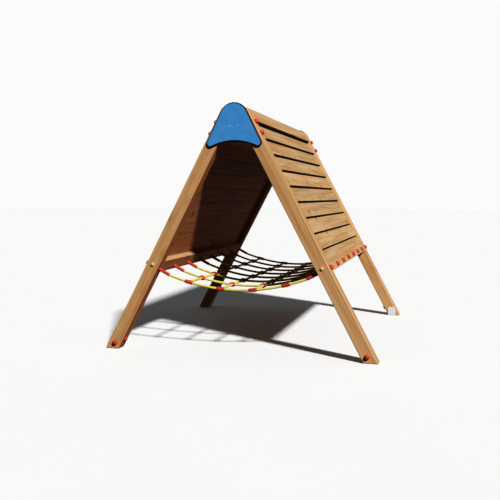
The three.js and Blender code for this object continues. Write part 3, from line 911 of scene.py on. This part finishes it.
def make_side(side, matrix, facing):
    to_side = matrix.inverted()
    turn = to_side.to_3x3()
    ground = (to_side @ Vector((0, 0, 0)), turn @ Vector((0, 0, -1)))
    saw_cut = (to_side @ Vector((0, 0, TOP_HEIGHT)), turn @ Vector((0, 0, 1)))
    inward = -1 if side == "right" else 1
    mitre = (to_side @ Vector((-inward * FIT / 2, 0, 0)), turn @ Vector((inward, 0, 0)))

    for end in (-1, 1):
        name = f"{facing[end]}_{side}"
        y0 = BAY if end > 0 else -BAY - POST
        outer = end * DEPTH / 2
        timber(f"{name}_post_timber", rectangle(-POST, 0, y0, y0 + POST), POST_BLANK, 2,
               matrix, POST_WOOD, "post_wood", [f"{name}_post"], POST_EDGE,
               cuts=(ground, saw_cut, mitre))
        for up, bolt in zip(TOP_BOLTS, ("lower", "upper")):
            turned_piece(f"{name}_{bolt}_ridge_cap", dome_profile(CAP, CAP_HIGH),
                         matrix @ Matrix.Translation((0, end * POST_Y, up)), RED, "red_cap",
                         [f"{name}_{bolt}_ridge_bolt"])
        out = TO_REAR if end > 0 else TO_FRONT
        turned_piece(f"{name}_rail_plug", dome_profile(PLUG, PLUG_HIGH),
                     matrix @ Matrix.Translation((POST_MID, outer, RAIL_BOLT_UP)) @ out,
                     BEIGE, "beige_cap", [f"{name}_rail_bolt"])
        turned_piece(f"{name}_foot_cap", dome_profile(CAP, CAP_HIGH),
                     matrix @ Matrix.Translation((POST_MID, outer, FOOT_BOLT_UP)) @ out,
                     RED, "red_cap", [f"{name}_foot_bolt"])

        if end > 0:
            turned_piece(f"{name}_anchor_cap", dome_profile(CAP, ANCHOR_CAP_HIGH),
                         matrix @ Matrix.Translation((-POST, end * POST_Y, ANCHOR_BOLT_UP))
                         @ HALF_TURN, RED, "red_cap", [f"{name}_anchor_bolt"])

    run = (-BAY + FIT, BAY - FIT)
    timber(f"{side}_bottom_rail_timber", rectangle(-POST, 0, RAIL_FOOT, RAIL_TOP), run, 1,
           matrix, BOARD_WOOD, "board_wood", [f"{side}_bottom_rail"], RAIL_EDGE)
    for number in range(BOARD_COUNT + 1):
        foot = BOARD_START + (number - 1) * BOARD_PITCH
        head = foot + BOARD_HIGH
        node, foot_in, edge = f"{side}_board_{number}", BOARD_FOOT_IN, BOARD_EDGE
        if number == 0:              # the lowest board stands on the rail
            node, foot_in, edge = f"{side}_lowest_board", LOW_BOARD_FOOT_IN, LOW_BOARD_EDGE
            foot = RAIL_TOP
        section = [(-BOARD_BACK, foot), (-foot_in, foot), (-BOARD_HEAD_IN, head),
                   (-BOARD_BACK, head)]
        next_foot_in = 0.0 if number == BOARD_COUNT else BOARD_FOOT_IN
        # the strip at the head that is painted near black as the next board's shadow
        shadow_strip = SHADOW_STRIP_SHARE * (BOARD_HEAD_IN - next_foot_in)
        timber(f"{side}_board_{number}_timber", section, run, 1, matrix, BOARD_WOOD,
               "board_wood", [node], edge, shadow_strip=shadow_strip, lip=number > 0)
    timber(f"{side}_top_board_timber",
           rectangle(-BOARD_BACK, 0, TOP_BOARD_FOOT, TOP_BOARD_TOP), run, 1, matrix,
           BOARD_WOOD, "board_wood", [f"{side}_top_board"], TOP_BOARD_EDGE, lip=True)


for side_name, (side_matrix, side_facing) in SIDES.items():
    make_side(side_name, side_matrix, side_facing)


# ---- ridge beam, gable plates, foot plate ----
def half_width(z):
    """Half the clear width between the posts' inner faces at height z."""
    return SPREAD / 2 - (POST + FIT + z * S) / C


crown_height = ((SPREAD / 2 - RIDGE_CROWN / 2) * C - POST - FIT) / S
# the ridge beam takes the darker copy of the wood, as painted shade
timber("ridge_beam_timber",
       [(-half_width(RIDGE_BASE), RIDGE_BASE), (half_width(RIDGE_BASE), RIDGE_BASE),
        (RIDGE_CROWN / 2, crown_height), (-RIDGE_CROWN / 2, crown_height)],
       (-DEPTH / 2, DEPTH / 2), 1, WORLD, SHADED_INNER_WOOD, "inner_wood", ["ridge_beam"],
       RIDGE_EDGE)


def plate_outline():
    """The gable plate's outline as (x, z) points, anticlockwise from the top's right end."""
    top = PLATE_TOP - PLATE_TOP_RADIUS
    flank = top * math.sin(PLATE_LEAN) + PLATE_TOP_RADIUS
    corner_x = (flank - PLATE_CORNER_RADIUS - PLATE_CORNER_HEIGHT * math.sin(PLATE_LEAN)) \
        / math.cos(PLATE_LEAN)
    drop = PLATE_CORNER_HEIGHT - PLATE_ARCH
    arch_radius = (corner_x ** 2 + drop ** 2 - PLATE_CORNER_RADIUS ** 2) \
        / (2 * (PLATE_CORNER_RADIUS - drop))
    arch = PLATE_ARCH - arch_radius
    join = math.atan2(PLATE_CORNER_HEIGHT - arch, corner_x)

    def arc(cx, cz, radius, start, stop, steps):
        return [(cx + radius * math.cos(start + (stop - start) * k / steps),
                 cz + radius * math.sin(start + (stop - start) * k / steps))
                for k in range(steps + 1)]

    right_corner = arc(corner_x, PLATE_CORNER_HEIGHT, PLATE_CORNER_RADIUS,
                       math.pi + join, 2 * math.pi + PLATE_LEAN, 20)
    left_corner = [(-x, z) for x, z in right_corner[::-1]]
    return (arc(0, top, PLATE_TOP_RADIUS, PLATE_LEAN, math.pi - PLATE_LEAN, 36)
            + left_corner
            + arc(0, arch, arch_radius, math.pi - join, join, 28)[1:-1]
            + right_corner)


def make_plate(name, place, node):
    """Two-layer board: a blue face on a black core that shows at the milled edge."""
    points = [Vector(p) for p in plate_outline()]
    normals = []
    for before, after in zip(points[-1:] + points, points[1:] + points[:1]):
        way = (after - before).normalized()
        normals.append(Vector((way.y, -way.x)))
    # (inset from the outline, depth behind the front face) along the milled edge
    edge = [(PLATE_EDGE + 0.0006, 0.0)] + [
        (PLATE_EDGE * (1 - math.sin(a)), PLATE_EDGE * (1 - math.cos(a)) + 0.0002)
        for a in (math.radians(90 * k / 6) for k in range(7))]
    edge += [(0.0, PLATE_THICK - 0.0015), (0.0005, PLATE_THICK - 0.0004),
             (0.0015, PLATE_THICK)]
    bm = bmesh.new()
    rings = []
    for inset, deep in edge:
        rings.append([bm.verts.new((p.x - n.x * inset, deep, p.y - n.y * inset))
                      for p, n in zip(points, normals)])
    bm.faces.new(rings[0])
    bm.faces.new(rings[-1][::-1]).material_index = 1
    for first, second in zip(rings, rings[1:]):
        wall(bm, second, first, layer=1)
    mesh = to_mesh(bm, name)
    mesh.transform(place)
    return keep_flats(add_piece(name, mesh, [BLUE, CORE], "blue_board", [node]))


# a flat head with a round socket: (radius, height)
PLATE_SCREW = [(0, -0.002), (0.0075, -0.002), (0.0078, 0.0), (0.0072, 0.0007),
               (0.0030, 0.0010), (0.0026, -0.0008), (0, -0.0008)]

for gable, turn_round in (("front", WORLD), ("rear", HALF_TURN)):
    face_y = -DEPTH / 2 - FIT - PLATE_THICK
    make_plate(f"{gable}_plate", turn_round @ Matrix.Translation((0, face_y, 0)),
               f"{gable}_gable_plate")
    for hand, x in (("left", -PLATE_SCREW_X), ("right", PLATE_SCREW_X)):
        seat = turn_round @ Matrix.Translation((x, face_y - FIT, PLATE_SCREW_HEIGHT))
        turned_piece(f"{gable}_plate_{hand}_screw", PLATE_SCREW, seat @ TO_FRONT,
                     LIGHT_BLUE, "blue_board", sides=28)


def screw_profile(width, high):
    """A countersunk head with a round socket."""
    r = width / 2
    return rounded([(0, -high), (r * 0.55, -high), (r, -0.0002), (r * 0.92, 0.0004),
                    (r * 0.45, 0.0006), (r * 0.42, -high * 0.6), (0, -high * 0.6)],
                   0.0003, 2)


def make_foot_plate():
    """A blank white plate with rounded corners, held by two screws."""
    x0, z0, back, corner, steps = SPREAD / 2 - TAG_IN, TAG_FOOT, BAY - FIT, 0.006, 6
    outline = []
    for cx, cz, start in ((1, 1, 0), (-1, 1, 90), (-1, -1, 180), (1, -1, 270)):
        for k in range(steps + 1):
            a = math.radians(start + 90 * k / steps)
            outline.append((x0 + cx * (TAG_WIDE / 2 - corner) + corner * math.cos(a),
                            z0 + TAG_HIGH / 2 + cz * (TAG_HIGH / 2 - corner)
                            + corner * math.sin(a)))
    bm = bmesh.new()
    lower = [bm.verts.new((x, back, z)) for x, z in outline]
    upper = [bm.verts.new((x, back - TAG_THICK, z)) for x, z in outline]
    bm.faces.new(lower)
    bm.faces.new(upper)
    wall(bm, lower, upper)
    bmesh.ops.recalc_face_normals(bm, faces=bm.faces[:])
    rim = [e for e in bm.edges if e.calc_face_angle(0.0) > math.radians(60)]
    bmesh.ops.bevel(bm, geom=rim, offset=0.0009, segments=3, profile=0.5, affect="EDGES")
    mesh = to_mesh(bm, "foot_label_plate")
    keep_flats(add_piece("foot_label_plate", mesh, [WHITE], "white_plate", ["foot_plate"]))
    across, up = TAG_WIDE / 2 - 0.010, 0.010
    for hand, dx, dz in (("lower", -across, up), ("upper", across, TAG_HIGH - up)):
        turned_piece(f"foot_label_{hand}_screw", screw_profile(0.007, 0.002),
                     Matrix.Translation((x0 + dx, back - TAG_THICK - FIT, z0 + dz))
                     @ TO_FRONT, ZINC, "white_plate", sides=20)


make_foot_plate()


# ---- floor and light ----
FLOOR_REACH = 60.0
FLOOR_LEVEL = -0.0005
# turn and lift are where a lamp stands, size is how wide it looks, all in degrees
KEY = {"energy": 4.6, "size": 4, "colour": (1.0, 0.975, 0.93), "turn": -45, "lift": 38.3}
FILL = {"energy": 2.3, "size": 40, "colour": (0.95, 0.97, 1.0), "turn": 140, "lift": 38}
SKY = (0.97, 0.98, 1.0, 1.0)
BACKDROP = (0.965, 0.965, 0.965, 1.0)
# strength of the room's light: from, to, strength at from, strength at to
BY_HEIGHT = (-0.10, 0.85, 0.160, 0.120)
FRONT_TO_REAR = (-0.90, 0.0, 0.12, 1.0)
TONE_CURVE = ((0.02, 0.008), (0.05, 0.026), (0.10, 0.068), (0.19, 0.158), (0.40, 0.385),
              (0.70, 0.695))


def make_floor():
    mesh = bpy.data.meshes.new("floor")
    mesh.from_pydata([(x * FLOOR_REACH, y * FLOOR_REACH, FLOOR_LEVEL)
                      for x, y in ((-1, -1), (1, -1), (1, 1), (-1, 1))], [], [(0, 1, 2, 3)])
    s = Shader("floor_pale")
    place = s.add("TexCoord").outputs["Object"]
    cloud = s.noise(place, 1.5, detail=2.0)
    colour = s.mix(cloud, (0.930, 0.955, 0.985, 1.0), (0.940, 0.965, 0.995, 1.0))
    mesh.materials.append(s.surface(Base_Color=colour, Roughness=1.0,
                                    Specular_IOR_Level=0.0))
    floor = bpy.data.objects.new("floor", mesh)
    floor.visible_diffuse = floor.visible_glossy = False
    bpy.context.scene.collection.objects.link(floor)
    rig.stage(floor)


def make_lamp(name, energy, size, colour, turn, lift):
    data = bpy.data.lights.new(name, "SUN")
    data.energy = energy
    data.angle = math.radians(size)
    data.color = colour
    lamp = bpy.data.objects.new(name, data)
    bpy.context.scene.collection.objects.link(lamp)
    turn, lift = math.radians(turn), math.radians(lift)
    toward = Vector((math.cos(turn) * math.cos(lift), math.sin(turn) * math.cos(lift),
                     math.sin(lift)))
    lamp.rotation_euler = toward.to_track_quat("Z", "Y").to_euler()
    return lamp


def make_lamps():
    """A key from the front right and a soft fill from behind, not on the floor or the net."""
    make_lamp("key", **KEY)
    fill = make_lamp("fill", **FILL)
    unlit = bpy.data.collections.new("unlit_by_fill")
    for piece in bpy.context.scene.objects:
        if piece.name.startswith(("floor", "rope_", "cross_rope_", "ball_", "tee_")):
            unlit.objects.link(piece)
    for entry in unlit.collection_objects:
        entry.light_linking.link_state = "EXCLUDE"
    fill.light_linking.receiver_collection = unlit


def make_studio():
    """Soft room light, weaker from the front, with a white backdrop for the camera."""
    world = bpy.data.worlds.new("studio")
    bpy.context.scene.world = world
    world.use_nodes = True
    tree = world.node_tree
    tree.nodes.clear()

    def add(kind):
        return tree.nodes.new("ShaderNode" + kind)

    place, parts = add("TexCoord"), add("SeparateXYZ")
    tree.links.new(place.outputs["Generated"], parts.inputs[0])

    def ramp(part, values):
        node = add("MapRange")
        tree.links.new(parts.outputs[part], node.inputs["Value"])
        for key, value in zip(("From Min", "From Max", "To Min", "To Max"), values):
            node.inputs[key].default_value = value
        return node.outputs[0]

    strength = add("Math")
    strength.operation = "MULTIPLY"
    tree.links.new(ramp("Z", BY_HEIGHT), strength.inputs[0])
    tree.links.new(ramp("Y", FRONT_TO_REAR), strength.inputs[1])
    light, seen = add("Background"), add("Background")
    light.inputs["Color"].default_value = SKY
    tree.links.new(strength.outputs[0], light.inputs["Strength"])
    seen.inputs["Color"].default_value = BACKDROP
    path, mix, out = add("LightPath"), add("MixShader"), add("OutputWorld")
    tree.links.new(path.outputs["Is Camera Ray"], mix.inputs[0])
    tree.links.new(light.outputs[0], mix.inputs[1])
    tree.links.new(seen.outputs[0], mix.inputs[2])
    tree.links.new(mix.outputs[0], out.inputs["Surface"])


def make_print():
    """A print with deep shadows: darks are pulled down, middle and light tones are kept."""
    view = bpy.context.scene.view_settings
    view.view_transform = "Standard"
    view.use_curve_mapping = True
    tones = view.curve_mapping.curves[3]
    for tone, shown in TONE_CURVE:
        tones.points.new(tone, shown)
    view.curve_mapping.update()


make_floor()
make_lamps()
make_studio()
make_print()

with open("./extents.json", "w") as size_file:
    json.dump({"cad": [list(corner) for corner in cad_box],
               "visual": [list(corner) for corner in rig.bounds()]}, size_file)
